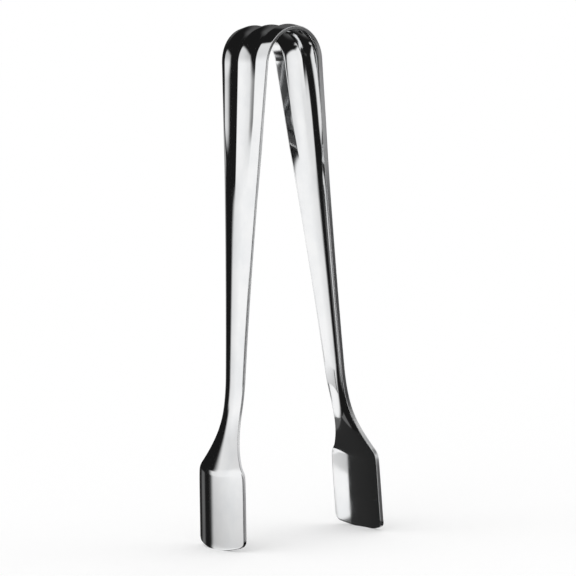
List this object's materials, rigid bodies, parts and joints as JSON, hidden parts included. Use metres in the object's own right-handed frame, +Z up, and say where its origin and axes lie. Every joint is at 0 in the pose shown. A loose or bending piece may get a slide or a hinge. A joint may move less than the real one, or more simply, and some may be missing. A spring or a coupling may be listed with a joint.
{
  "type": "sugar tongs",
  "caption": "One-piece polished steel sugar tongs with a fluted spring bow, tapering arms and scooped claws for lifting sugar cubes.",
  "frame": {"origin": "on the surface the tongs stand on, midway between the two claw feet", "axes": "+Z up from the claw feet to the crown of the bow, +X across the opening from the left claw to the right claw, +Y across the width of the strip"},
  "size_m": [0.0392, 0.0194, 0.1099],
  "materials": {
    "polished_steel": "polished"
  },
  "bodies": {
    "bow": {"spring_bow": "polished_steel"},
    "left": {"left_arm": "polished_steel", "left_claw": "polished_steel"},
    "right": {"right_arm": "polished_steel", "right_claw": "polished_steel"}
  },
  "joints": [
    {"name": "right_squeeze", "type": "hinge", "parent": "bow", "child": "right", "pos_m": [0, 0, 0.10129], "axis": [0, 1, 0], "range_deg": [0, 9.8], "stiffness_Nm_per_rad": 2.5},
    {"name": "left_squeeze", "type": "hinge", "parent": "bow", "child": "left", "pos_m": [0, 0, 0.10129], "axis": [0, -1, 0], "range_deg": [0, 9.8], "stiffness_Nm_per_rad": 2.5}
  ],
  "couplings": [
    {"joint": "left_squeeze", "follows": "right_squeeze", "ratio": 1}
  ]
}
